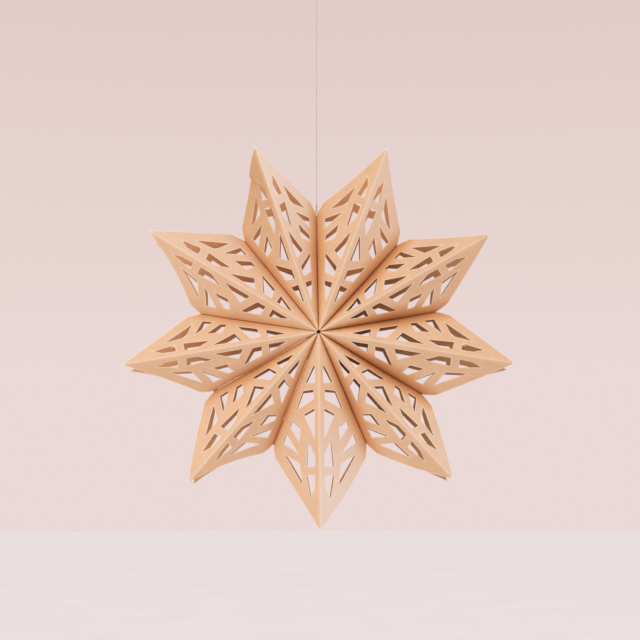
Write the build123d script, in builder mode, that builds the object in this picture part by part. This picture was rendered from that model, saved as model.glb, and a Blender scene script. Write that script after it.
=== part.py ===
from build123d import *
import os
from math import asin, atan, cos, radians, sin

# A nine-pointed star of folded paper with a cut lattice, hung on a cotton thread.
# The frame has +Z up and the front facing -Y. The origin is the hub, halfway between front and back.
# Lengths are millimetres. Angles are degrees, counter-clockwise from +X as seen from the front.

# The star, whose heights are measured from its middle plane towards the front
tip_radius = 200.0
tip_height = 33.5
hub_height = 20.0
hub_hole_radius = 2.0
paper_thickness = 0.4

# The shoulders, where a seam's line and a point's straight edge would meet, and their cut-off corners
shoulder_radius = 130.5
shoulder_height = 5.0
seam_radius = 123.0
shoulder_cut_length = 8.5
shoulder_rounding = 8.0

# Directions of the ridges and of the glued seams, spread unevenly by hand
# A point lies between its own seam in the list and the next one, and the first point hangs down
ridge_angles = (270.5, 312, 350.5, 29.5, 69.5, 109, 149.5, 190, 229.5)
seam_angles = (248, 293.5, 329.5, 10.5, 48.5, 91, 128.5, 170.5, 209)

# The cut-outs of one facet. Each corner has a share of the way along the ridge, from hub to tip,
# and a share of the way along the seam, from hub to shoulder
cut_out_shares = (
    ((0.11, 0.09), (0.205, 0.09), (0.095, 0.27)),
    ((0.225, 0.115), (0.105, 0.325), (0.115, 0.465), (0.27, 0.12)),
    ((0.33, 0.1), (0.235, 0.305), (0.475, 0.105)),
    ((0.11, 0.56), (0.12, 0.595), (0.305, 0.415), (0.25, 0.385)),
    ((0.105, 0.68), (0.115, 0.745), (0.36, 0.43)),
    ((0.41, 0.23), (0.56, 0.1), (0.62, 0.1), (0.52, 0.27)),
    ((0.195, 0.705), (0.42, 0.41), (0.555, 0.36)),
    ((0.66, 0.105), (0.565, 0.27), (0.72, 0.195), (0.72, 0.115)),
)

# The thread, tied through a hole near the end of the hanging seam, with a loop at its upper end
thread_radius = 0.5
thread_bevel = 0.2
thread_length = 230.0
thread_hole_inset = 5.0
thread_hole_clearance = 0.4
tie_rise = 10.0
tie_clearance = 0.2
loop_length = 24.0
loop_radius = 6.0
knot_radius = 1.3
cut_overrun = 5.0


def direction(angle):
    """The direction away from the star's axis at an angle."""
    return Vector(cos(radians(angle)), 0, sin(radians(angle)))


def place(radius, angle, height):
    """The point at a radius and angle about the star's axis, and a height in front of its middle."""
    return direction(angle) * radius + Vector(0, -height, 0)


def facet_sheet(ridge_angle, seam_angle, turn):
    """One front facet, from its ridge to the seam on one side, with its shoulder and cut-outs."""
    hub = place(0, ridge_angle, hub_height)
    tip = place(tip_radius, ridge_angle, tip_height)
    shoulder = place(shoulder_radius, seam_angle, shoulder_height)
    ridge = tip - hub
    seam = shoulder - hub
    plane = Plane(hub, x_dir=ridge, z_dir=ridge.cross(seam) * turn)

    def corner(ridge_share, seam_share):
        return plane.to_local_coords(hub + ridge * ridge_share + seam * seam_share)

    seam_end_share = seam_radius / shoulder_radius
    shoulder_share = shoulder_cut_length / (tip - shoulder).length
    shoulder_corner = corner(shoulder_share, 1 - shoulder_share)
    with BuildSketch(plane) as sheet:
        with BuildLine():
            Polyline(corner(0, 0), corner(1, 0), shoulder_corner, corner(0, seam_end_share), close=True)
        make_face()
        fillet(sheet.vertices().sort_by_distance(shoulder_corner)[0], shoulder_rounding)
        for shares in cut_out_shares:
            with BuildLine():
                Polyline(*[corner(*share) for share in shares], close=True)
            make_face(mode=Mode.SUBTRACT)
    return sheet.sketch


def seam_plane(seam_angle, radius):
    """The plane of a seam, with its origin at a radius, X outwards and Z counter-clockwise."""
    outwards = direction(seam_angle)
    return Plane(outwards * radius, x_dir=outwards, z_dir=direction(seam_angle + 90))


def fin_sheet(seam_angle):
    """The plain fin that stands in a seam, from the front fold to the back fold."""
    seam_end_height = hub_height + (shoulder_height - hub_height) * seam_radius / shoulder_radius
    with BuildSketch(seam_plane(seam_angle, 0)) as sheet:
        with BuildLine():
            Polyline(
                (0, hub_height),
                (seam_radius, seam_end_height),
                (seam_radius, -seam_end_height),
                (0, -hub_height),
                close=True,
            )
        make_face()
    return sheet.sketch


os.makedirs("parts", exist_ok=True)

# The thread hangs the star by its uppermost seam
hanging_angle = max(seam_angles, key=lambda angle: sin(radians(angle)))

# Nine folded points, each glued by its fins to its two neighbours
for number, ridge_angle in enumerate(ridge_angles):
    seams = {-1: number, 1: (number + 1) % len(seam_angles)}
    with BuildPart() as point:
        for turn, seam in seams.items():
            extrude(facet_sheet(ridge_angle, seam_angles[seam], turn), amount=-paper_thickness)
        mirror(about=Plane.XZ)
        for turn, seam in seams.items():
            extrude(fin_sheet(seam_angles[seam]), amount=-turn * paper_thickness)
        with BuildSketch(Plane.XZ):
            Circle(hub_hole_radius)
        extrude(amount=hub_height + cut_overrun, both=True, mode=Mode.SUBTRACT)
        if hanging_angle in [seam_angles[seam] for seam in seams.values()]:
            with BuildSketch(seam_plane(hanging_angle, seam_radius - thread_hole_inset)):
                Circle(thread_radius + thread_hole_clearance)
            extrude(amount=paper_thickness + cut_overrun, both=True, mode=Mode.SUBTRACT)
    point.part.label = f"point_{number + 1}"
    export_step(point.part, f"parts/point_{number + 1}.step")

# The tie goes through the hole and round both fins, and its legs clear them at the seam's end
thread_hole = place(seam_radius - thread_hole_inset, hanging_angle, 0)
tie_length = thread_hole_inset + tie_rise
tie_spread = atan((paper_thickness + thread_radius + tie_clearance) / tie_rise)
tie_radius = tie_length * sin(tie_spread) / (1 + sin(tie_spread))
tie_knot = thread_hole + Vector(0, 0, tie_length)
loop_knot = tie_knot + Vector(0, 0, thread_length)

# The thread is one length: a straight run between two knots, with a teardrop eye beyond each knot
eyes = ((tie_knot, -1, tie_length, tie_radius), (loop_knot, 1, loop_length, loop_radius))
with BuildPart() as hanging_thread:
    for knot, rise, length, radius in eyes:
        centre = length - radius
        spread = asin(radius / centre)
        leg = centre * cos(spread)
        with BuildSketch(Plane(knot, x_dir=(1, 0, 0), z_dir=(0, -rise, 0))):
            with BuildLine():
                right = Line((0, 0), (leg * sin(spread), leg * cos(spread)))
                left = Line((0, 0), (-leg * sin(spread), leg * cos(spread)))
                ThreePointArc(right @ 1, (0, length), left @ 1)
            middle = make_face()
            offset(amount=thread_radius)
            offset(middle, amount=-thread_radius, mode=Mode.SUBTRACT)
        extrude(amount=thread_radius, both=True)
        chamfer(hanging_thread.edges(Select.LAST).filter_by(Axis.Y, reverse=True), thread_bevel)
        with Locations(knot):
            Sphere(knot_radius)
    with BuildSketch(Plane(tie_knot)):
        Circle(thread_radius)
    extrude(amount=thread_length)
hanging_thread.part.label = "hanging_thread"
export_step(hanging_thread.part, "parts/hanging_thread.step")
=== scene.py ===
from math import asin, atan, ceil, cos, pi, radians, sin, tan

import bmesh
import bpy
import numpy as np
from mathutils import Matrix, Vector, noise
from mathutils.geometry import delaunay_2d_cdt


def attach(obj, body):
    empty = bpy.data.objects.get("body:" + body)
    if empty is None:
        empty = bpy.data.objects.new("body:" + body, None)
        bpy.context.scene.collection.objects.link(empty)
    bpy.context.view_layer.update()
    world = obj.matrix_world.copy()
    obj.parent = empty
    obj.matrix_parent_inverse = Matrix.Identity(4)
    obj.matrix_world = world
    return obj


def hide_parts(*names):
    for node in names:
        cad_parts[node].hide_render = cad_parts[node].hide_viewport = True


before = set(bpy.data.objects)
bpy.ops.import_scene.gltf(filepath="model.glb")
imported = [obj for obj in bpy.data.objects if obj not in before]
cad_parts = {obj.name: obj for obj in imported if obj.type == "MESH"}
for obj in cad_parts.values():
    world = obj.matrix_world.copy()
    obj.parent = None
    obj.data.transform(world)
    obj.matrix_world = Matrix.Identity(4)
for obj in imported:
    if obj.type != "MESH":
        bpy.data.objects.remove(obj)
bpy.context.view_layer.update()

scene = bpy.context.scene
scene.view_settings.view_transform = "Standard"

# A nine-pointed star of folded card with a cut lattice, hung on a cotton thread.
# Lengths of the star and the thread are millimetres. The camera, floor and lamps are placed in metres.
# Angles are degrees, counter-clockwise from +X as seen from the front.
MM = 0.001

# Sizes of the star, as in the part's source
TIP_RADIUS = 200.0
TIP_HEIGHT = 33.5
HUB_HEIGHT = 20.0
HUB_HOLE_RADIUS = 2.0
PAPER_THICKNESS = 0.4
SHOULDER_RADIUS = 130.5
SHOULDER_HEIGHT = 5.0
SEAM_RADIUS = 123.0
SHOULDER_CUT = 8.5
SHOULDER_ROUNDING = 8.0
RIDGE_ANGLES = (270.5, 312, 350.5, 29.5, 69.5, 109, 149.5, 190, 229.5)
SEAM_ANGLES = (248, 293.5, 329.5, 10.5, 48.5, 91, 128.5, 170.5, 209)
HANGING_ANGLE = 91
CUT_OUT_SHARES = (
    ((0.11, 0.09), (0.205, 0.09), (0.095, 0.27)),
    ((0.225, 0.115), (0.105, 0.325), (0.115, 0.465), (0.27, 0.12)),
    ((0.33, 0.1), (0.235, 0.305), (0.475, 0.105)),
    ((0.11, 0.56), (0.12, 0.595), (0.305, 0.415), (0.25, 0.385)),
    ((0.105, 0.68), (0.115, 0.745), (0.36, 0.43)),
    ((0.41, 0.23), (0.56, 0.1), (0.62, 0.1), (0.52, 0.27)),
    ((0.195, 0.705), (0.42, 0.41), (0.555, 0.36)),
    ((0.66, 0.105), (0.565, 0.27), (0.72, 0.195), (0.72, 0.115)),
)

# Sizes of the thread, as in the part's source
THREAD_RADIUS = 0.5
THREAD_LENGTH = 230.0
THREAD_HOLE_INSET = 5.0
TIE_RISE = 10.0
TIE_CLEARANCE = 0.2
LOOP_LENGTH = 24.0
LOOP_RADIUS = 6.0

# The thread's twisted plies, its knots and the lines that it follows
PLY_COUNT = 3
PLY_RADIUS = 0.24
PLY_OFFSET = 0.26
PLY_PITCH = 3.2
PLY_SIDES = 7
RING_STEP = 0.3
KNOT_STEPS = 60
KNOT_SCALE = 0.34
KNOT_DEPTH = 1.6
EYE_END_SHARE = 1.02
RUN_CONTROL_GAP = 12 * THREAD_RADIUS
SPLINE_STEPS = 24

# The soft fold along a ridge, and the lighter line along it, which is partly a paler crease and partly
# painted highlight
FOLD_WIDTH = 1.0
FOLD_DROP = 0.3
CREASE_AND_HIGHLIGHT_MARK = 0.7

# The fold from a facet into its fin: how far each stays off the seam's middle, and how deep the fold turns
FOLD_GAPS = (0.25, 0.6)
FOLD_GAP_START = 20.0
FOLD_TURN = 1.1
FIN_GAP = 0.03

# How a facet rounds down into its seam: a width as a share of the radius, and a depth as a share of the width
SINK_WIDTH_SHARE = 0.18
SINK_DEPTH_SHARES = (0.24, 0.5)
SINK_LIMIT = 0.6
SINK_POWER = 2.4

# The slow waves of a hand-folded sheet, which calm down near a seam and near the hub
WAVE_HEIGHT = 0.7
WAVE_SCALE = 14.0
WAVE_SEAM_GAP = 12.0
WAVE_HUB_RADIUS = 60.0

# The painted shade of a valley, a darker and warmer colour which widens up to a radius and is narrower and
# weaker beyond it
VALLEY_SHADE_WIDTH_SHARE = 0.245
VALLEY_SHADE_TURN = 80.0
VALLEY_SHADE_LOSS_LENGTH = 45.0
VALLEY_SHADE_LOSSES = (0.3, 0.35)
VALLEY_SHADE_KEEP = 0.5

# Painted glare that pales a panel's card and painted shade that darkens it: where it starts, its way to full
# strength in shares, and its gaps from the folds
PAINTED_LIGHT_START = 0.25
PAINTED_LIGHT_REACH = 0.55
PAINTED_LIGHT_SEAM_WEIGHT = 0.5
PAINTED_LIGHT_GAP = 14.0
SHADE_RIDGE_GAP = 2.5
SHADE_TONE_SHARE = 0.43

# The painted shade inside a point: its least painted valley shade, and its darker painted shade, which
# follows how deep the point's valleys are
INSIDE_SHADE_TONE = 0.25
INSIDE_SHADES = (0.15, 0.62)
INSIDE_SHADE_START = 0.55
INSIDE_SHADE_FULL = 0.95

# Each point's two panels, the clockwise one first: how far its cut edge bows out at mid-edge in millimetres,
# how deep its valley and its painted valley shade are from 0 to 1, and how strongly painted glare pales its
# card from 0 to 1, or painted shade darkens it if it is below 0
PANELS = (
    ((-0.5, 0.2, 0.1), (2.5, 0.5, 0.8)),
    ((2.4, 0.8, 0), (2, 1, 0.35)),
    ((0.8, 1, 0), (0, 1, 0)),
    ((0.7, 1, 0), (-1.5, 1, 0)),
    ((-1.1, 0.6, 0.45), (-1.7, 0.5, 0)),
    ((0, 0.6, 0.85), (-1.9, 0.5, -0.3)),
    ((0.5, 0.25, 0.3), (-4, 0.2, 0.1)),
    ((-0.5, 0.35, 0.1), (-1.2, 0.15, 0)),
    ((1.7, 0.8, 0.1), (-4.2, 0.5, 0)),
)
EDGE_BOW_START = 0.55

# The panels at the back: how much further in their cut edges bow, and how far and from where their tips sag
BACK_BOW = -2.2
BACK_SAG = 1.8
BACK_SAG_START = 0.6

# One panel is kinked: where its crease crosses the facet, in shares, and how the part beyond it flares
KINK_POINT = 6
KINK_EDGE = (0.64, 0.36)
KINK_INNER = (0.68, 0.2)
KINK_WIDTH = 3.0
KINK_GROWTH_SHARE = 0.16
KINK_FLARE = 3.6
KINK_ACROSS = 0.8
KINK_FORWARD = 0.6

# In two seams the pale edge of a glued tab shows between the folds, from one radius to another
TAB_SEAMS = {209: (14.0, 118.0), 248: (30.0, 96.0)}
TAB_POINT = 9
TAB_GAP = 1.3
TAB_THICKNESS = 0.8
TAB_RISE = 0.1
TAB_DEPTH = 1.0
# The tab's marks make it paler with some of the cut rims' painted highlight, and add a little painted valley
# shade
TAB_MARKS = (0, 0.4, 0.2, 0)

# Mesh steps and limits
EDGE_STEP = 2.6
RIM_STEP = 0.8
RIM_CORNER_STEP = RIM_STEP * 1.02
RIM_CLEARANCE = RIM_STEP * 0.95
RIM_CORNER_TURNS = 8
GRID_STEP = 3.8
GRID_ROW_STEP = GRID_STEP * 0.866
GRID_CLEARANCE = RIM_STEP * 2.6
ARC_POINTS = 7
FIN_ROWS = 6
TRIANGLES_INSIDE = 1
TRIANGLE_LIMIT = 1e-5
MERGE_DISTANCE = 0.02
SHARP_ANGLE = 40

# Colours of the card, with painted highlights, painted glare and painted shade among them. The tints multiply
# the colour below them
CARD_TONES = (0.77, 0.49, 0.3), (0.82, 0.535, 0.335)
CUT_EDGE_TONES = (0.82, 0.58, 0.41), (0.9, 0.68, 0.51)
PALE_FIBRE = (0.9, 0.7, 0.53, 1)
DARK_FIBRE = (0.6, 0.36, 0.21, 1)
# Painted glare: the paler, pinker card of panels that light washes out
PAINTED_GLARE = (0.88, 0.73, 0.64, 1)
# The colour along a ridge, partly a paler crease and partly painted highlight
CREASE_AND_HIGHLIGHT_COLOUR = (0.93, 0.75, 0.6, 1)
# A painted highlight along the cut edges
RIM_HIGHLIGHT_COLOUR = (0.98, 0.84, 0.72, 1)
NO_TINT = (1, 1, 1)
# Painted shade in a valley: a deep brown at the seam, and a warmer painted shade partway out
VALLEY_SHADE_TINT = (0.59, 0.345, 0.2)
WARM_SHADE_TINT = (0.94, 0.76, 0.57, 1)
WARM_SHADE_TINT_PLACE = 0.25
# Painted shade, for a darkened panel and the insides of the points
SHADE_TINT = (0.54, 0.54, 0.51, 1)
THREAD_TONES = (0.6, 0.46, 0.39), (0.86, 0.73, 0.65)

# The camera, in front of the star and below it, looking slightly up
CAMERA_PLACE = (-0.0044, -1.4744, -0.1517)
CAMERA_LENS = 81.05
CAMERA_SENSOR = 36.0
CAMERA_RISE = 6.42
CAMERA_TURN = -0.23

# The floor below the star. Its glow is for the rays that are seen
FLOOR_Z = -0.45
FLOOR_RADIUS = 7.46
FLOOR_SEGMENTS = 128
FLOOR_TONES = (0.57, 0.535, 0.54), (0.6, 0.565, 0.57)
FLOOR_GLOW = 0.3
FLOOR_GLOW_COLOUR = (1.0, 0.92, 0.93, 1)

# The world's light from the front and from behind, and the seen ground at its lower and upper end
LIGHT_TONES = (0.8, 0.76, 0.745), (0.98, 0.93, 0.91)
GROUND_TONES = (0.82, 0.69, 0.675), (0.76, 0.6, 0.57)

# Sockets of a mix node that mixes colours
MIX_FACTOR = 0
MIX_FIRST = 6
MIX_SECOND = 7
MIX_RESULT = 2


def direction(angle):
    """The direction away from the star's axis at an angle."""
    return Vector((cos(radians(angle)), 0, sin(radians(angle))))


def place(radius, angle, height):
    """The point at a radius and angle about the star's axis, and a height in front of its middle."""
    return direction(angle) * radius + Vector((0, -height, 0))


def axis_distance(point):
    """How far a point is from the star's axis."""
    return Vector((point.x, point.z)).length


def between(limits, share):
    """The value at a share of the way from the first limit to the second."""
    return limits[0] + (limits[1] - limits[0]) * share


def clamp(value):
    """The value held between 0 and 1."""
    return min(1, max(0, value))


def new_object(name, bm, materials):
    """An object made from a bmesh whose lengths are millimetres."""
    bmesh.ops.scale(bm, vec=(MM, MM, MM), verts=bm.verts)
    mesh = bpy.data.meshes.new(name)
    bm.to_mesh(mesh)
    bm.free()
    for material in materials:
        mesh.materials.append(material)
    obj = bpy.data.objects.new(name, mesh)
    scene.collection.objects.link(obj)
    return obj


camera_data = bpy.data.cameras.new("camera")
camera_data.lens = CAMERA_LENS
camera_data.sensor_width = CAMERA_SENSOR
camera = bpy.data.objects.new("camera", camera_data)
camera.location = CAMERA_PLACE
camera.rotation_euler = (radians(90 + CAMERA_RISE), 0, radians(CAMERA_TURN))
scene.collection.objects.link(camera)
scene.camera = camera


def add_node(tree, kind, **inputs):
    """A shader node with its input values set by name."""
    node = tree.nodes.new(kind)
    for name, value in inputs.items():
        node.inputs[name.replace("_", " ")].default_value = value
    return node


def new_material(name):
    """A material with nodes, its tree and its shader."""
    material = bpy.data.materials.new(name)
    material.use_nodes = True
    tree = material.node_tree
    return material, tree, tree.nodes["Principled BSDF"]


def noise_node(tree, place_node, scale, detail, stretch=(1, 1, 1)):
    """A noise texture over the object's own coordinates, stretched along its axes."""
    mapping = add_node(tree, "ShaderNodeMapping", Scale=stretch)
    texture = add_node(tree, "ShaderNodeTexNoise", Scale=scale, Detail=detail)
    tree.links.new(place_node.outputs["Object"], mapping.inputs["Vector"])
    tree.links.new(mapping.outputs["Vector"], texture.inputs["Vector"])
    return texture


def ramp_node(tree, source, low, high, colours):
    """A colour ramp over a value, from the first colour at a low value to the second at a high one."""
    ramp = tree.nodes.new("ShaderNodeValToRGB")
    for element, position, colour in zip(ramp.color_ramp.elements, (low, high), colours):
        element.position = position
        element.color = (*colour, 1)
    tree.links.new(source, ramp.inputs["Fac"])
    return ramp


def greys(low, high):
    """Two greys, for a ramp that gives a plain value."""
    return (low, low, low), (high, high, high)


def mix_node(tree, blend, factor, first, second):
    """A colour mix. Each of factor, first and second is a socket or a value."""
    mix = tree.nodes.new("ShaderNodeMix")
    mix.data_type = "RGBA"
    mix.blend_type = blend
    for number, value in ((MIX_FACTOR, factor), (MIX_FIRST, first), (MIX_SECOND, second)):
        if isinstance(value, bpy.types.NodeSocket):
            tree.links.new(value, mix.inputs[number])
        else:
            mix.inputs[number].default_value = value
    return mix.outputs[MIX_RESULT]


def seen_rays(tree):
    """A socket that is 1 for rays from the camera, a gloss or a clear surface, and 0 for all others."""
    path_node = tree.nodes.new("ShaderNodeLightPath")
    total = path_node.outputs["Is Camera Ray"]
    for name in ("Is Glossy Ray", "Is Transmission Ray"):
        largest = tree.nodes.new("ShaderNodeMath")
        largest.operation = "MAXIMUM"
        tree.links.new(total, largest.inputs[0])
        tree.links.new(path_node.outputs[name], largest.inputs[1])
        total = largest.outputs[0]
    return total


def paper_material(name, tones):
    """Uncoated card: mottled pulp, pale and dark fibres, and the painted highlights, painted glare and
    painted shade that the mesh's marks carry.
    """
    material, tree, shader = new_material(name)
    coordinates = tree.nodes.new("ShaderNodeTexCoord")
    mottle = noise_node(tree, coordinates, scale=55, detail=5)
    tone = ramp_node(tree, mottle.outputs["Fac"], 0.3, 0.7, tones)
    pale = noise_node(tree, coordinates, scale=420, detail=3, stretch=(0.16, 1, 1))
    pale_mask = ramp_node(tree, pale.outputs["Fac"], 0.58, 0.72, greys(0, 0.22))
    dark = noise_node(tree, coordinates, scale=500, detail=3, stretch=(1, 1, 0.14))
    dark_mask = ramp_node(tree, dark.outputs["Fac"], 0.6, 0.75, greys(0, 0.2))
    colour = mix_node(tree, "MIX", pale_mask.outputs["Color"], tone.outputs["Color"], PALE_FIBRE)
    colour = mix_node(tree, "MIX", dark_mask.outputs["Color"], colour, DARK_FIBRE)

    # The marks are red for a paler crease and painted highlight along a fold, green for a painted highlight
    # along a cut rim, blue for painted shade in a valley and alpha for painted glare
    marks = tree.nodes.new("ShaderNodeVertexColor")
    marks.layer_name = "marks"
    colour = mix_node(tree, "MIX", marks.outputs["Alpha"], colour, PAINTED_GLARE)
    parts = tree.nodes.new("ShaderNodeSeparateColor")
    tree.links.new(marks.outputs["Color"], parts.inputs["Color"])
    colour = mix_node(tree, "MIX", parts.outputs["Red"], colour, CREASE_AND_HIGHLIGHT_COLOUR)
    colour = mix_node(tree, "MIX", parts.outputs["Green"], colour, RIM_HIGHLIGHT_COLOUR)
    # Painted shade in a valley, from the blue mark
    valley_shade_ramp = ramp_node(tree, parts.outputs["Blue"], 0, 1, (NO_TINT, VALLEY_SHADE_TINT))
    warm_shade_tint = valley_shade_ramp.color_ramp.elements.new(WARM_SHADE_TINT_PLACE)
    warm_shade_tint.color = WARM_SHADE_TINT
    colour = mix_node(tree, "MULTIPLY", 1, colour, valley_shade_ramp.outputs["Color"])
    # Painted shade: the shade value darkens the card towards a grey tint
    shade = tree.nodes.new("ShaderNodeAttribute")
    shade.attribute_name = "shade"
    colour = mix_node(tree, "MULTIPLY", shade.outputs["Fac"], colour, SHADE_TINT)
    tree.links.new(colour, shader.inputs["Base Color"])

    # The tooth of the card and its soft unevenness
    tooth = noise_node(tree, coordinates, scale=1500, detail=4)
    rough = ramp_node(tree, tooth.outputs["Fac"], 0.2, 0.8, greys(0.72, 0.92))
    tree.links.new(rough.outputs["Color"], shader.inputs["Roughness"])
    bump = add_node(tree, "ShaderNodeBump", Strength=0.3, Distance=0.00008)
    tree.links.new(tooth.outputs["Fac"], bump.inputs["Height"])
    waves = add_node(tree, "ShaderNodeBump", Strength=0.12, Distance=0.0004)
    tree.links.new(mottle.outputs["Fac"], waves.inputs["Height"])
    tree.links.new(bump.outputs["Normal"], waves.inputs["Normal"])
    tree.links.new(waves.outputs["Normal"], shader.inputs["Normal"])
    shader.inputs["Specular IOR Level"].default_value = 0.22
    return material


def thread_material():
    """Spun cotton: fine fibres of uneven tone along the strands, with a soft sheen."""
    material, tree, shader = new_material("cotton_thread")
    coordinates = tree.nodes.new("ShaderNodeTexCoord")
    fibre = noise_node(tree, coordinates, scale=2600, detail=3, stretch=(1, 1, 0.3))
    tone = ramp_node(tree, fibre.outputs["Fac"], 0.3, 0.72, THREAD_TONES)
    tree.links.new(tone.outputs["Color"], shader.inputs["Base Color"])
    bump = add_node(tree, "ShaderNodeBump", Strength=0.5, Distance=0.00006)
    tree.links.new(fibre.outputs["Fac"], bump.inputs["Height"])
    tree.links.new(bump.outputs["Normal"], shader.inputs["Normal"])
    shader.inputs["Roughness"].default_value = 0.85
    shader.inputs["Sheen Weight"].default_value = 0.25
    return material


paper = paper_material("peach_card", CARD_TONES)
paper_edge = paper_material("peach_card_cut_edge", CUT_EDGE_TONES)
cotton = thread_material()

# The places of the thread's hole and knots, and the size of its tie
thread_hole = place(SEAM_RADIUS - THREAD_HOLE_INSET, HANGING_ANGLE, 0)
tie_length = THREAD_HOLE_INSET + TIE_RISE
tie_spread = atan((PAPER_THICKNESS + THREAD_RADIUS + TIE_CLEARANCE) / TIE_RISE)
tie_radius = tie_length * sin(tie_spread) / (1 + sin(tie_spread))
tie_knot = thread_hole + Vector((0, 0, tie_length))
loop_knot = tie_knot + Vector((0, 0, THREAD_LENGTH))


def spline_points(name, points):
    """Points along a smooth open spline with these control points."""
    curve = bpy.data.curves.new(name, "CURVE")
    curve.dimensions = "3D"
    curve.resolution_u = SPLINE_STEPS
    spline = curve.splines.new("NURBS")
    spline.points.add(len(points) - 1)
    for control, point in zip(spline.points, points):
        control.co = (*point, 1)
    spline.order_u = 3
    spline.use_endpoint_u = True
    obj = bpy.data.objects.new(name, curve)
    mesh = bpy.data.meshes.new_from_object(obj)
    found = [vertex.co.copy() for vertex in mesh.vertices]
    bpy.data.objects.remove(obj)
    bpy.data.curves.remove(curve)
    bpy.data.meshes.remove(mesh)
    return found


def even_points(points, step):
    """The same line with its points an even step apart."""
    lengths = [0.0]
    for first, second in zip(points, points[1:]):
        lengths.append(lengths[-1] + (second - first).length)
    count = max(2, ceil(lengths[-1] / step))
    wanted = np.linspace(0, lengths[-1], count + 1)
    columns = [np.interp(wanted, lengths, [point[axis] for point in points]) for axis in range(3)]
    return [Vector(row) for row in zip(*columns)]


def add_strands(bm, points):
    """Adds three plies twisted round a line."""
    line = even_points(points, RING_STEP)
    side = (line[1] - line[0]).normalized().orthogonal().normalized()
    rings = [[] for ply in range(PLY_COUNT)]
    for number, point in enumerate(line):
        ahead = line[min(number + 1, len(line) - 1)] - line[max(number - 1, 0)]
        tangent = ahead.normalized()
        side = (side - tangent * side.dot(tangent)).normalized()
        other = tangent.cross(side)
        turn = 2 * pi * number * RING_STEP / PLY_PITCH
        for ply in range(PLY_COUNT):
            angle = turn + 2 * pi * ply / PLY_COUNT
            middle = point + (side * cos(angle) + other * sin(angle)) * PLY_OFFSET
            ring = []
            for corner in range(PLY_SIDES):
                around = 2 * pi * corner / PLY_SIDES
                ring.append(bm.verts.new(middle + (side * cos(around) + other * sin(around)) * PLY_RADIUS))
            rings[ply].append(ring)
    for ply_rings in rings:
        for first, second in zip(ply_rings, ply_rings[1:]):
            for corner in range(PLY_SIDES):
                beside = (corner + 1) % PLY_SIDES
                bm.faces.new((first[corner], first[beside], second[beside], second[corner]))
        bm.faces.new(list(reversed(ply_rings[0])))
        bm.faces.new(ply_rings[-1])
    for face in bm.faces:
        face.smooth = True


def knot_points(centre):
    """An overhand knot: a closed trefoil line about a place."""
    points = []
    for number in range(KNOT_STEPS + 1):
        turn = 2 * pi * number / KNOT_STEPS
        x = sin(turn) + 2 * sin(2 * turn)
        y = cos(turn) - 2 * cos(2 * turn)
        z = -KNOT_DEPTH * sin(3 * turn)
        points.append(centre + Vector((x, y, z)) * KNOT_SCALE)
    return points


def eye_points(knot, rise, length, radius):
    """Control points of a teardrop eye that leaves a knot upwards (rise 1) or downwards (rise -1)."""
    centre = length - radius
    spread = asin(radius / centre)
    leg = centre * cos(spread)
    across = leg * sin(spread)
    along = leg * cos(spread)
    end = (0, length * EYE_END_SHARE)
    half = ((0, 0), (across / 2, along / 2), (across, along), (across, length))
    right = [knot + Vector((x, 0, z * rise)) for x, z in (*half, end)]
    left = [knot + Vector((-x, 0, z * rise)) for x, z in reversed(half)]
    return right + left


def thread_piece(name, lines):
    """A piece of twisted thread along one or more lines."""
    bm = bmesh.new()
    for line in lines:
        add_strands(bm, line)
    piece = new_object(name, bm, [cotton])
    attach(piece, "root")
    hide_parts("hanging_thread")
    return piece


# The run is pulled straight, so it has only one more control point beside each knot
near_knot = Vector((0, 0, RUN_CONTROL_GAP))
run_controls = (tie_knot, tie_knot + near_knot, loop_knot - near_knot, loop_knot)
run_line = spline_points("thread_route", run_controls)
tie_line = spline_points("tie_route", eye_points(tie_knot, -1, tie_length, tie_radius))
loop_line = spline_points("loop_route", eye_points(loop_knot, 1, LOOP_LENGTH, LOOP_RADIUS))
run = thread_piece("thread_run", [run_line])
tie = thread_piece("thread_tie", [tie_line, knot_points(tie_knot)])
loop = thread_piece("thread_loop", [loop_line, knot_points(loop_knot)])


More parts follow.
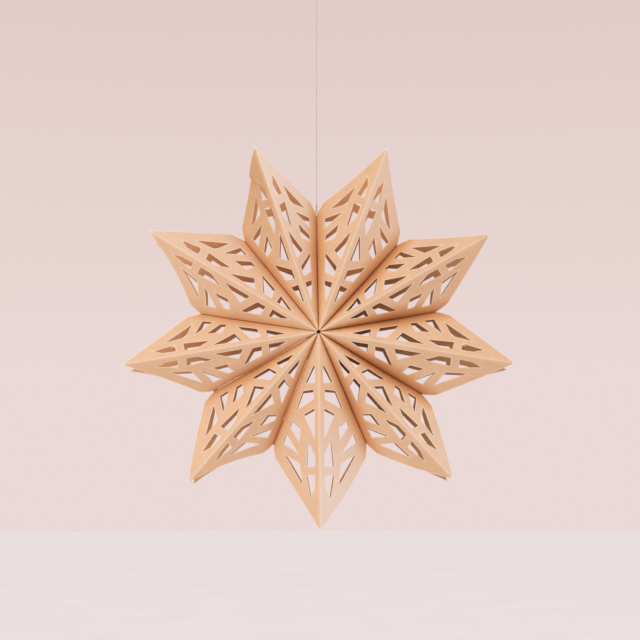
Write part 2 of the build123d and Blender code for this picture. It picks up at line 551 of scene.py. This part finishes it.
class Facet:
    """One front facet of a point, laid flat, with its cut-outs and the way back to space."""

    def __init__(self, ridge_angle, seam_angle, turn, panel):
        self.bow, self.valley, self.fade = panel
        self.fold_gap = TAB_GAP if seam_angle in TAB_SEAMS else between(FOLD_GAPS, self.valley)
        self.hub = place(0, ridge_angle, HUB_HEIGHT)
        self.tip = place(TIP_RADIUS, ridge_angle, TIP_HEIGHT)
        self.shoulder = place(SHOULDER_RADIUS, seam_angle, SHOULDER_HEIGHT)
        self.ridge = self.tip - self.hub
        self.seam = self.shoulder - self.hub
        self.along = self.ridge.normalized()
        seam_part = self.seam - self.along * self.seam.dot(self.along)
        self.across = seam_part.normalized()
        self.inwards = direction(seam_angle + 90) * -turn
        edge = (self.tip - self.shoulder).normalized()
        self.edge_out = (self.along - edge * self.along.dot(edge)).normalized()
        self.seam_flat = np.array(self.flat(0, 1))
        self.seam_flat /= np.linalg.norm(self.seam_flat)

    def flat(self, ridge_share, seam_share):
        """The flat place of a corner given by its shares along ridge and seam."""
        point = self.ridge * ridge_share + self.seam * seam_share
        return (point.dot(self.along), point.dot(self.across))

    def shares(self, place_flat):
        """The shares along ridge and seam of a flat place."""
        seam_share = place_flat[1] / self.seam.dot(self.across)
        ridge_share = (place_flat[0] - seam_share * self.seam.dot(self.along)) / self.ridge.length
        return ridge_share, seam_share

    def seam_distance(self, places):
        """How far flat places lie from the seam's line."""
        return np.abs(places[:, 0] * self.seam_flat[1] - places[:, 1] * self.seam_flat[0])

    def seam_ends(self):
        """The flat places where the seam starts at the hub's hole and where it ends."""
        start = np.array(self.flat(0, HUB_HOLE_RADIUS / SHOULDER_RADIUS))
        end = np.array(self.flat(0, SEAM_RADIUS / SHOULDER_RADIUS))
        return start, end

    def outline(self):
        """The flat outline as four runs: ridge, cut edge, seam and hub."""
        seam_start, end = self.seam_ends()
        cut_share = SHOULDER_CUT / (self.tip - self.shoulder).length
        corner = np.array(self.flat(cut_share, 1 - cut_share))
        tip = np.array(self.flat(1, 0))
        to_tip = (tip - corner) / np.linalg.norm(tip - corner)
        to_end = (end - corner) / np.linalg.norm(end - corner)
        half = np.arccos(to_tip @ to_end) / 2
        reach = SHOULDER_ROUNDING / tan(half)
        middle = corner + (to_tip + to_end) / np.linalg.norm(to_tip + to_end) * SHOULDER_ROUNDING / sin(half)
        arc = []
        for share in np.linspace(0, 1, ARC_POINTS):
            guess = corner + to_tip * reach * (1 - share) + to_end * reach * share - middle
            arc.append(middle + guess / np.linalg.norm(guess) * SHOULDER_ROUNDING)
        start = np.array(self.flat(HUB_HOLE_RADIUS / TIP_RADIUS, 0))
        return [start, tip], [tip, *arc, end], [end, seam_start], [seam_start, start]

    def holes(self):
        """The flat cut-outs."""
        return [[np.array(self.flat(*share)) for share in shares] for shares in CUT_OUT_SHARES]


def walk(points, step):
    """Points along a run at even steps, without the last one."""
    found = []
    for first, second in zip(points, points[1:]):
        count = max(1, ceil(np.linalg.norm(second - first) / step))
        for number in range(count):
            found.append(first + (second - first) * number / count)
    return found


def inside(places, loops):
    """Whether places lie on the paper, by the even-odd rule over the outline and the cut-outs."""
    hits = np.zeros(len(places), dtype=int)
    for loop_points in loops:
        ends = np.roll(loop_points, -1, axis=0)
        for first, second in zip(loop_points, ends):
            if first[1] == second[1]:
                continue
            crosses = (first[1] > places[:, 1]) != (second[1] > places[:, 1])
            at = first[0] + (places[:, 1] - first[1]) * (second[0] - first[0]) / (second[1] - first[1])
            hits += crosses & (places[:, 0] < at)
    return hits % 2 == 1


def distances(places, firsts, seconds):
    """The shortest distance from each place to a set of straight edges."""
    best = np.full(len(places), np.inf)
    for first, second in zip(firsts, seconds):
        run_vector = second - first
        share = np.clip((places - first) @ run_vector / (run_vector @ run_vector), 0, 1)
        gap = np.linalg.norm(places - first - share[:, None] * run_vector, axis=1)
        best = np.minimum(best, gap)
    return best


def rim_places(loops, holes):
    """Places one rim step to either side of every edge and corner, and round the corners of the cut-outs."""
    found = []
    for loop_points in loops:
        ahead = np.roll(loop_points, -1, axis=0) - loop_points
        middles = loop_points + ahead / 2
        normals = np.stack([-ahead[:, 1], ahead[:, 0]], axis=1) / np.linalg.norm(ahead, axis=1)[:, None]
        corner_normals = normals + np.roll(normals, 1, axis=0)
        corner_normals /= np.linalg.norm(corner_normals, axis=1)[:, None]
        for sign in (1, -1):
            found.append(middles + normals * RIM_STEP * sign)
            found.append(loop_points + corner_normals * RIM_STEP * sign)
    for hole in holes:
        for turn_angle in np.linspace(0, 2 * pi, RIM_CORNER_TURNS + 1)[:-1]:
            found.append(np.array(hole) + RIM_CORNER_STEP * np.array([cos(turn_angle), sin(turn_angle)]))
    return np.concatenate(found)


def grid_places(outline):
    """An even grid of places over the box of an outline, with every other row half a step along."""
    low = outline.min(axis=0)
    high = outline.max(axis=0)
    found = []
    for row, y in enumerate(np.arange(low[1], high[1], GRID_ROW_STEP)):
        for x in np.arange(low[0] + (row % 2) * GRID_STEP / 2, high[0], GRID_STEP):
            found.append((x, y))
    return np.array(found)


def facet_mesh(facet):
    """The facet's flat places, its triangles, and how far each place lies from a cut edge."""
    ridge_run, cut_run, seam_run, hub_run = facet.outline()
    holes = facet.holes()
    outer = []
    for run_points in (ridge_run, cut_run, seam_run, hub_run):
        outer += walk(run_points, EDGE_STEP)
    loops = [np.array(outer)]
    cut_firsts = [np.array(cut_run[:-1])]
    cut_seconds = [np.array(cut_run[1:])]
    for hole in holes:
        loops.append(np.array(walk(hole + [hole[0]], EDGE_STEP)))
        cut_firsts.append(np.array(hole))
        cut_seconds.append(np.roll(np.array(hole), -1, axis=0))
    cut_firsts = np.concatenate(cut_firsts)
    cut_seconds = np.concatenate(cut_seconds)
    folds = (ridge_run, seam_run, hub_run)
    all_firsts = np.concatenate([cut_firsts, np.array([fold[0] for fold in folds])])
    all_seconds = np.concatenate([cut_seconds, np.array([fold[1] for fold in folds])])

    tries = ((rim_places(loops, holes), RIM_CLEARANCE), (grid_places(loops[0]), GRID_CLEARANCE))
    added = []
    for tried, clearance in tries:
        tried = tried[inside(tried, loops)]
        added.append(tried[distances(tried, all_firsts, all_seconds) > clearance])

    places = np.concatenate([*loops, *added])
    edges = []
    start = 0
    for loop_points in loops:
        count = len(loop_points)
        edges += [(start + number, start + (number + 1) % count) for number in range(count)]
        start += count
    corners = [Vector(place_flat) for place_flat in places]
    result = delaunay_2d_cdt(corners, edges, [], TRIANGLES_INSIDE, TRIANGLE_LIMIT)
    found = np.array([tuple(place_flat) for place_flat in result[0]])
    triangles = [tuple(face) for face in result[2]]
    centres = np.array([found[list(face)].mean(axis=0) for face in triangles])
    triangles = [face for face, wanted in zip(triangles, inside(centres, loops)) if wanted]
    return found, triangles, distances(found, cut_firsts, cut_seconds)


def sink(facet, radius):
    """Width and depth of the bend that rounds a facet down into its seam, at a distance from the hub."""
    width = SINK_WIDTH_SHARE * radius
    share = between(SINK_DEPTH_SHARES, facet.valley)
    half_depth = HUB_HEIGHT + (SHOULDER_HEIGHT - HUB_HEIGHT) * radius / SHOULDER_RADIUS
    return width, min(width * share, SINK_LIMIT * max(0, half_depth))


def kink_shift(facet, place_flat):
    """The flare of a kinked panel beyond its crease, which grows from none at the ridge."""
    first = np.array(facet.flat(*KINK_EDGE))
    second = np.array(facet.flat(*KINK_INNER))
    line = (second - first) / np.linalg.norm(second - first)
    along = place_flat[0] - first[0]
    across = place_flat[1] - first[1]
    if along <= across * line[0] / line[1]:
        return Vector((0, 0, 0))
    beyond = abs(along * line[1] - across * line[0])
    seam_share = facet.shares(place_flat)[1]
    amount = KINK_FLARE * min(1, beyond / KINK_WIDTH) * min(1, seam_share / KINK_GROWTH_SHARE)
    return (facet.across * KINK_ACROSS + Vector((0, -KINK_FORWARD, 0))) * amount


def bend(facet, places, bow=0, kink=False):
    """Takes flat places to space, with the sink at the seam, a soft ridge, a bowed edge, waves and a kink."""
    gaps = facet.seam_distance(places)
    points = []
    for place_flat, gap in zip(places, gaps):
        point = facet.hub + facet.along * place_flat[0] + facet.across * place_flat[1]
        radius = axis_distance(point)
        width, depth = sink(facet, radius)
        if gap < width:
            point.y += depth * (1 - gap / width) ** SINK_POWER
        turn_width = 2 * facet.fold_gap
        if gap < turn_width:
            point += facet.inwards * facet.fold_gap * (1 - gap / turn_width) * min(1, radius / FOLD_GAP_START)
        if place_flat[1] < FOLD_WIDTH:
            point.y += FOLD_DROP * (1 - place_flat[1] / FOLD_WIDTH)
        ridge_share, seam_share = facet.shares(place_flat)
        reach = ridge_share + seam_share
        near_edge = max(0, (reach - EDGE_BOW_START) / (1 - EDGE_BOW_START)) ** 2
        point += facet.edge_out * bow * sin(pi * min(1, seam_share / reach)) * near_edge
        calm = min(1, gap / WAVE_SEAM_GAP) * min(1, radius / WAVE_HUB_RADIUS)
        point.y += noise.noise(point * MM * WAVE_SCALE) * WAVE_HEIGHT * calm
        if kink:
            point += kink_shift(facet, place_flat)
        points.append(point)
    return points


def painted_valley_shade(facet, gap, radius):
    """How deep a facet's painted valley shade is, at a gap from the seam and a distance from the hub."""
    outer = clamp((radius - VALLEY_SHADE_TURN) / VALLEY_SHADE_LOSS_LENGTH) * (1 - VALLEY_SHADE_KEEP * facet.valley)
    width_loss, tone_loss = VALLEY_SHADE_LOSSES
    width = VALLEY_SHADE_WIDTH_SHARE * min(radius, VALLEY_SHADE_TURN) * (1 - width_loss * outer)
    return facet.valley * max(0, 1 - gap / width) ** 2 * (1 - tone_loss * outer)


def add_facet(bm, marks, shade, facet, flat_mesh, side, kink):
    """Adds a front facet (side 1) or its mirror image at the back (side -1) to a point."""
    places, triangles, rim_gaps = flat_mesh
    gaps = facet.seam_distance(places)
    at_back = side == -1
    points = bend(facet, places, facet.bow + BACK_BOW if at_back else facet.bow, kink)
    verts = []
    for point, place_flat, gap, rim_gap in zip(points, places, gaps, rim_gaps):
        ridge_share, seam_share = facet.shares(place_flat)
        radius = axis_distance(point)
        if at_back:
            point.z -= BACK_SAG * max(0, (ridge_share - BACK_SAG_START) / (1 - BACK_SAG_START)) ** 2
        vert = bm.verts.new((point.x, point.y * side, point.z))
        # The marks paint a paler crease and highlight along the ridge, a highlight along cut rims, shade in
        # the valley and glare over the panel; a panel value below 0 paints shade over it instead
        fold = max(0, 1 - place_flat[1] / FOLD_WIDTH)
        rim = max(0, 1 - rim_gap / RIM_STEP)
        painted_light_place = ridge_share + PAINTED_LIGHT_SEAM_WEIGHT * seam_share
        fade = facet.fade * clamp((painted_light_place - PAINTED_LIGHT_START) / PAINTED_LIGHT_REACH) * min(1, gap / PAINTED_LIGHT_GAP)
        painted_darkness = max(0, -fade) * min(1, place_flat[1] / SHADE_RIDGE_GAP)
        tone = max(painted_valley_shade(facet, gap, radius), SHADE_TONE_SHARE * painted_darkness)
        vert[shade] = painted_darkness
        vert[marks] = (CREASE_AND_HIGHLIGHT_MARK * fold, rim, tone, max(0, fade))
        verts.append(vert)
    for face in triangles:
        made = bm.faces.new([verts[number] for number in face])
        made.normal_update()
        if made.normal.y * side > 0:
            made.normal_flip()


def add_fin(bm, marks, facet, seam_angle):
    """Adds the plain fin of a seam, from the front fold to the back fold."""
    outwards = direction(seam_angle)
    start, end = facet.seam_ends()
    stations = [*walk([end, start], EDGE_STEP), start]
    grid = []
    for fold in bend(facet, np.array(stations)):
        radius = axis_distance(fold)
        depth = -fold.y - FOLD_TURN
        column = [fold]
        for number in range(FIN_ROWS + 1):
            height = depth * (1 - 2 * number / FIN_ROWS)
            column.append(outwards * radius + facet.inwards * FIN_GAP + Vector((0, -height, 0)))
        column.append(Vector((fold.x, -fold.y, fold.z)))
        # The fin is painted in full valley shade, and its two folds in the painted valley shade at their
        # radius
        fold_shade = painted_valley_shade(facet, 0, radius)
        made = []
        for number, point in enumerate(column):
            vert = bm.verts.new(point)
            at_fold = number in (0, len(column) - 1)
            vert[marks] = (0, 0, fold_shade if at_fold else 1, 0)
            made.append(vert)
        grid.append(made)
    for first, second in zip(grid, grid[1:]):
        for number in range(len(first) - 1):
            face = bm.faces.new((first[number], first[number + 1], second[number + 1], second[number]))
            face.normal_update()
            if face.normal.dot(facet.inwards) > 0:
                face.normal_flip()


def thicken(bm, marks, shade, inside_shade):
    """Gives the folded sheet its thickness, with a wall along every cut edge and painted shade inside."""
    bm.normal_update()
    outer_faces = list(bm.faces)
    outer_verts = list(bm.verts)
    rim_edges = [edge for edge in bm.edges if edge.is_boundary]
    inner = {}
    for vert in outer_verts:
        copy = bm.verts.new(vert.co - vert.normal * PAPER_THICKNESS)
        # The inner copies get at least the inside's painted valley shade and the point's inside painted shade
        fold, rim, valley = vert[marks][:3]
        copy[marks] = (fold, rim, max(valley, INSIDE_SHADE_TONE), 0)
        copy[shade] = inside_shade
        inner[vert] = copy
    for face in outer_faces:
        bm.faces.new([inner[vert] for vert in reversed(face.verts)])
    for edge in rim_edges:
        face = edge.link_faces[0]
        corner = next(loop_corner for loop_corner in face.loops if loop_corner.edge == edge)
        first = corner.vert
        second = corner.link_loop_next.vert
        wall = bm.faces.new((second, first, inner[first], inner[second]))
        wall.material_index = 1


def add_tab(bm, marks, facet, seam_angle):
    """Adds the pale edge of a glued tab, a thin strip that stands between the two folds of a seam."""
    outwards = direction(seam_angle)
    half = direction(seam_angle + 90) * (TAB_THICKNESS / 2)
    section = ((1, -TAB_RISE), (-1, -TAB_RISE), (-1, TAB_DEPTH), (1, TAB_DEPTH))
    first, last = TAB_SEAMS[seam_angle]
    rings = []
    for radius in np.linspace(first, last, ceil((last - first) / EDGE_STEP)):
        fold = bend(facet, np.array([facet.flat(0, radius / SHOULDER_RADIUS)]))[0]
        ring = []
        for side, lift in section:
            vert = bm.verts.new(outwards * radius + half * side + Vector((0, fold.y + lift, 0)))
            vert[marks] = TAB_MARKS
            ring.append(vert)
        rings.append(ring)
    faces = [bm.faces.new(rings[0]), bm.faces.new(list(reversed(rings[-1])))]
    for near, far in zip(rings, rings[1:]):
        for corner in range(len(section)):
            beside = (corner + 1) % len(section)
            faces.append(bm.faces.new((near[beside], near[corner], far[corner], far[beside])))
    for face in faces:
        face.material_index = 1


# Nine folded points, each between its own seam in the list and the next one
for number, ridge_angle in enumerate(RIDGE_ANGLES):
    bm = bmesh.new()
    marks = bm.verts.layers.float_color.new("marks")
    shade = bm.verts.layers.float.new("shade")
    seams = (SEAM_ANGLES[number], SEAM_ANGLES[(number + 1) % len(SEAM_ANGLES)])
    facets = {}
    for turn, seam_angle, panel in zip((-1, 1), seams, PANELS[number]):
        facet = Facet(ridge_angle, seam_angle, turn, panel)
        facets[seam_angle] = facet
        flat_mesh = facet_mesh(facet)
        kinked = number + 1 == KINK_POINT and turn == 1
        add_facet(bm, marks, shade, facet, flat_mesh, 1, kinked)
        add_facet(bm, marks, shade, facet, flat_mesh, -1, False)
        add_fin(bm, marks, facet, seam_angle)
    bmesh.ops.remove_doubles(bm, verts=bm.verts, dist=MERGE_DISTANCE)
    # The point's inside painted shade follows how deep its valleys are
    mean_valley = sum(facet.valley for facet in facets.values()) / 2
    deep_share = (mean_valley - INSIDE_SHADE_START) / (INSIDE_SHADE_FULL - INSIDE_SHADE_START)
    thicken(bm, marks, shade, between(INSIDE_SHADES, clamp(deep_share)))
    if number + 1 == TAB_POINT:
        for seam_angle in TAB_SEAMS:
            add_tab(bm, marks, facets[seam_angle], seam_angle)
    bm.normal_update()
    for face in bm.faces:
        face.smooth = True
    for edge in bm.edges:
        edge.smooth = not (len(edge.link_faces) == 2 and edge.calc_face_angle() > radians(SHARP_ANGLE))
    point = new_object(f"paper_point_{number + 1}", bm, [paper, paper_edge])
    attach(point, "root")
    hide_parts(f"point_{number + 1}")

# The pale floor
floor_bm = bmesh.new()
bmesh.ops.create_circle(floor_bm, cap_ends=True, segments=FLOOR_SEGMENTS, radius=FLOOR_RADIUS)
floor_mesh = bpy.data.meshes.new("floor")
floor_bm.to_mesh(floor_mesh)
floor_bm.free()
floor = bpy.data.objects.new("floor", floor_mesh)
floor.location = (0, 0, FLOOR_Z)
floor_material, floor_tree, floor_shader = new_material("pale_floor")
floor_place = floor_tree.nodes.new("ShaderNodeTexCoord")
floor_noise = noise_node(floor_tree, floor_place, scale=6, detail=3)
floor_tone = ramp_node(floor_tree, floor_noise.outputs["Fac"], 0.3, 0.7, FLOOR_TONES)
floor_tree.links.new(floor_tone.outputs["Color"], floor_shader.inputs["Base Color"])
floor_shader.inputs["Roughness"].default_value = 0.9
floor_glow = floor_tree.nodes.new("ShaderNodeMath")
floor_glow.operation = "MULTIPLY"
floor_glow.inputs[1].default_value = FLOOR_GLOW
floor_tree.links.new(seen_rays(floor_tree), floor_glow.inputs[0])
floor_tree.links.new(floor_glow.outputs[0], floor_shader.inputs["Emission Strength"])
floor_shader.inputs["Emission Color"].default_value = FLOOR_GLOW_COLOUR
floor_mesh.materials.append(floor_material)
scene.collection.objects.link(floor)


def add_light(name, location, size, power, colour, spread):
    """A soft square lamp that points at the star, with a beam of a given spread in degrees."""
    data = bpy.data.lights.new(name, "AREA")
    data.size = size
    data.energy = power
    data.color = colour
    data.spread = radians(spread)
    lamp = bpy.data.objects.new(name, data)
    lamp.location = location
    lamp.visible_camera = False
    lamp.rotation_euler = (-Vector(location)).to_track_quat("-Z", "Y").to_euler()
    scene.collection.objects.link(lamp)


add_light("key", (-0.85, -1.1, 0.1), size=0.9, power=3.7, colour=(1.0, 0.96, 0.9), spread=140)
add_light("fill", (1.7, -1.5, 0.8), size=1.6, power=8.5, colour=(0.98, 0.97, 0.96), spread=180)

# The world: soft light all round, a little stronger from behind, and a pale ground for the rays that are seen
world = bpy.data.worlds.new("world")
world.use_nodes = True
scene.world = world
world_tree = world.node_tree
world_place = world_tree.nodes.new("ShaderNodeTexCoord")
world_axes = world_tree.nodes.new("ShaderNodeSeparateXYZ")
world_tree.links.new(world_place.outputs["Generated"], world_axes.inputs["Vector"])
light_ground = world_tree.nodes["Background"]
light_ground.inputs["Strength"].default_value = 1.0
light_tone = ramp_node(world_tree, world_axes.outputs["Y"], 0.2, 0.8, LIGHT_TONES)
world_tree.links.new(light_tone.outputs["Color"], light_ground.inputs["Color"])
pale_ground = add_node(world_tree, "ShaderNodeBackground", Strength=1.0)
ground_tone = ramp_node(world_tree, world_axes.outputs["Z"], 0.08, 0.33, GROUND_TONES)
world_tree.links.new(ground_tone.outputs["Color"], pale_ground.inputs["Color"])
ground_mix = world_tree.nodes.new("ShaderNodeMixShader")
world_tree.links.new(seen_rays(world_tree), ground_mix.inputs["Fac"])
world_tree.links.new(light_ground.outputs["Background"], ground_mix.inputs[1])
world_tree.links.new(pale_ground.outputs["Background"], ground_mix.inputs[2])
world_tree.links.new(ground_mix.outputs["Shader"], world_tree.nodes["World Output"].inputs["Surface"])
